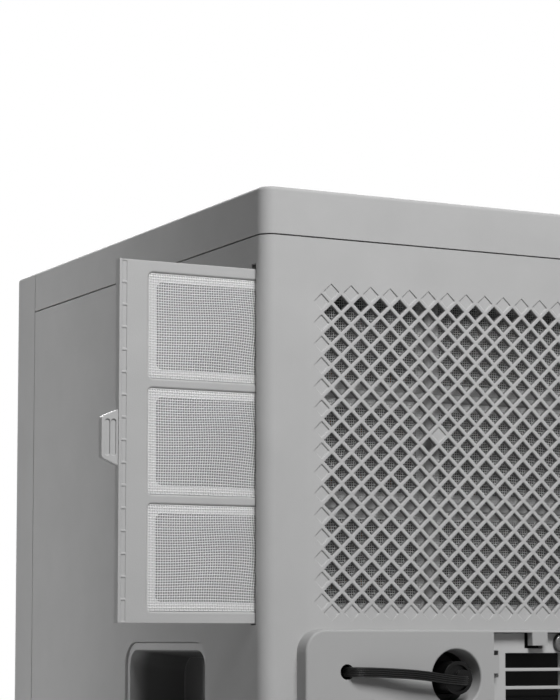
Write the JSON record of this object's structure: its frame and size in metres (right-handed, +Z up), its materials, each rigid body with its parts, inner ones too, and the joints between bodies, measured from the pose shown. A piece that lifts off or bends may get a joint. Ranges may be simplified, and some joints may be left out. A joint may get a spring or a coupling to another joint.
{
  "type": "dehumidifier",
  "caption": "Upright box dehumidifier on casters: lattice rear intake, side-drawn air filter, capped drain outlet, front water bucket, blower and refrigerant coils.",
  "frame": {"origin": "on the floor under the middle of the cabinet", "axes": "+Z up, front towards -Y, filter draws out towards +X"},
  "size_m": [0.3767, 0.302, 0.51],
  "materials": {
    "cabinet_grey": "fine satin grained grey moulded plastic",
    "filter_grey": "satin grey moulded plastic",
    "net": "fine woven grey polymer net",
    "black_plastic": "black moulded plastic",
    "rubber": "soft black rubber",
    "steel": "zinc plated steel",
    "copper": "drawn copper tube",
    "fin_aluminium": "mill finish fin stock",
    "compressor_paint": "black stove enamel",
    "clear": "clear moulded window",
    "dark_lens": "smoked display lens",
    "button_white": "light grey moulded buttons",
    "board": "green circuit board",
    "tank": "grey polypropylene",
    "wheel": "black rubber tread"
  },
  "bodies": {
    "cabinet_body": {"cabinet": "cabinet_grey", "rear_grille": "cabinet_grey", "vent_panel": "cabinet_grey", "vent_screws": "steel", "handle_cup_left": "cabinet_grey", "handle_cup_right": "cabinet_grey", "filter_rails": "black_plastic", "top_cover": "cabinet_grey", "outlet_grille": "cabinet_grey", "control_panel": "black_plastic", "display_lens": "dark_lens", "control_board": "board", "front_panel": "cabinet_grey", "base_pan": "black_plastic", "deck": "black_plastic", "drip_tray": "black_plastic", "drain_spigot": "black_plastic", "cap_tether": "rubber", "evaporator_fins": "fin_aluminium", "evaporator_tube": "copper", "condenser_fins": "fin_aluminium", "condenser_tube": "copper", "blower_housing": "black_plastic", "fan_motor": "steel", "compressor": "compressor_paint", "compressor_foot": "compressor_paint", "compressor_grommets": "rubber", "compressor_bolts": "steel", "accumulator": "compressor_paint", "suction_pipe": "copper", "compressor_inlet_pipe": "copper", "discharge_pipe": "copper", "cord_gland": "rubber", "bucket_switch": "black_plastic", "humidity_sensor": "button_white"},
    "filter": {"filter_frame": "filter_grey", "filter_net": "net"},
    "bucket": {"bucket_tank": "tank", "bucket_front": "cabinet_grey", "level_window": "clear", "bucket_lid": "tank"},
    "bail": {"bucket_handle": "black_plastic"},
    "float": {"bucket_float": "button_white"},
    "fan": {"fan_wheel": "black_plastic", "fan_shaft": "steel"},
    "cap": {"drain_cap": "rubber"},
    "button_power_body": {"button_power": "button_white"},
    "button_mode_body": {"button_mode": "button_white"},
    "button_fan_speed_body": {"button_fan_speed": "button_white"},
    "button_timer_body": {"button_timer": "button_white"},
    "button_humidity_down_body": {"button_humidity_down": "button_white"},
    "button_humidity_up_body": {"button_humidity_up": "button_white"},
    "fork_front_left": {"caster_fork_front_left": "black_plastic"},
    "wheel_front_left": {"caster_wheel_front_left": "wheel"},
    "fork_front_right": {"caster_fork_front_right": "black_plastic"},
    "wheel_front_right": {"caster_wheel_front_right": "wheel"},
    "fork_rear_left": {"caster_fork_rear_left": "black_plastic"},
    "wheel_rear_left": {"caster_wheel_rear_left": "wheel"},
    "fork_rear_right": {"caster_fork_rear_right": "black_plastic"},
    "wheel_rear_right": {"caster_wheel_rear_right": "wheel"}
  },
  "joints": [
    {"name": "filter_slide", "type": "slide", "parent": "cabinet_body", "child": "filter", "axis": [1, 0, 0], "range_m": [-0.0594, 0.2216]},
    {"name": "bucket_slide", "type": "slide", "parent": "cabinet_body", "child": "bucket", "axis": [0, -1, 0], "range_m": [0, 0.17]},
    {"name": "bail_swing", "type": "hinge", "parent": "bucket", "child": "bail", "pos_m": [0, -0.052, 0.2681], "axis": [1, 0, 0], "range_deg": [0, 90]},
    {"name": "float_swing", "type": "hinge", "parent": "bucket", "child": "float", "pos_m": [0, -0.0047, 0.226], "axis": [-1, 0, 0], "range_deg": [0, 12]},
    {"name": "fan_spin", "type": "hinge", "parent": "cabinet_body", "child": "fan", "pos_m": [0, 0.02, 0.398], "axis": [0, 1, 0], "continuous": true},
    {"name": "cap_pull", "type": "slide", "parent": "cabinet_body", "child": "cap", "axis": [0, 1, 0], "range_m": [0, 0.014], "deforming": ["cap_tether"]},
    {"name": "press_power", "type": "slide", "parent": "cabinet_body", "child": "button_power_body", "axis": [0, 0, -1], "range_m": [0, 0.0009], "stiffness_N_per_m": 400},
    {"name": "press_mode", "type": "slide", "parent": "cabinet_body", "child": "button_mode_body", "axis": [0, 0, -1], "range_m": [0, 0.0009], "stiffness_N_per_m": 400},
    {"name": "press_fan_speed", "type": "slide", "parent": "cabinet_body", "child": "button_fan_speed_body", "axis": [0, 0, -1], "range_m": [0, 0.0009], "stiffness_N_per_m": 400},
    {"name": "press_timer", "type": "slide", "parent": "cabinet_body", "child": "button_timer_body", "axis": [0, 0, -1], "range_m": [0, 0.0009], "stiffness_N_per_m": 400},
    {"name": "press_humidity_down", "type": "slide", "parent": "cabinet_body", "child": "button_humidity_down_body", "axis": [0, 0, -1], "range_m": [0, 0.0009], "stiffness_N_per_m": 400},
    {"name": "press_humidity_up", "type": "slide", "parent": "cabinet_body", "child": "button_humidity_up_body", "axis": [0, 0, -1], "range_m": [0, 0.0009], "stiffness_N_per_m": 400},
    {"name": "swivel_front_left", "type": "hinge", "parent": "cabinet_body", "child": "fork_front_left", "pos_m": [0.122, -0.1, 0.036], "axis": [0, 0, 1], "continuous": true},
    {"name": "roll_front_left", "type": "hinge", "parent": "fork_front_left", "child": "wheel_front_left", "pos_m": [0.122, -0.091, 0.014], "axis": [1, 0, 0], "continuous": true},
    {"name": "swivel_front_right", "type": "hinge", "parent": "cabinet_body", "child": "fork_front_right", "pos_m": [-0.122, -0.1, 0.036], "axis": [0, 0, 1], "continuous": true},
    {"name": "roll_front_right", "type": "hinge", "parent": "fork_front_right", "child": "wheel_front_right", "pos_m": [-0.122, -0.091, 0.014], "axis": [1, 0, 0], "continuous": true},
    {"name": "swivel_rear_left", "type": "hinge", "parent": "cabinet_body", "child": "fork_rear_left", "pos_m": [0.122, 0.1, 0.036], "axis": [0, 0, 1], "continuous": true},
    {"name": "roll_rear_left", "type": "hinge", "parent": "fork_rear_left", "child": "wheel_rear_left", "pos_m": [0.122, 0.109, 0.014], "axis": [1, 0, 0], "continuous": true},
    {"name": "swivel_rear_right", "type": "hinge", "parent": "cabinet_body", "child": "fork_rear_right", "pos_m": [-0.122, 0.1, 0.036], "axis": [0, 0, 1], "continuous": true},
    {"name": "roll_rear_right", "type": "hinge", "parent": "fork_rear_right", "child": "wheel_rear_right", "pos_m": [-0.122, 0.109, 0.014], "axis": [1, 0, 0], "continuous": true}
  ]
}
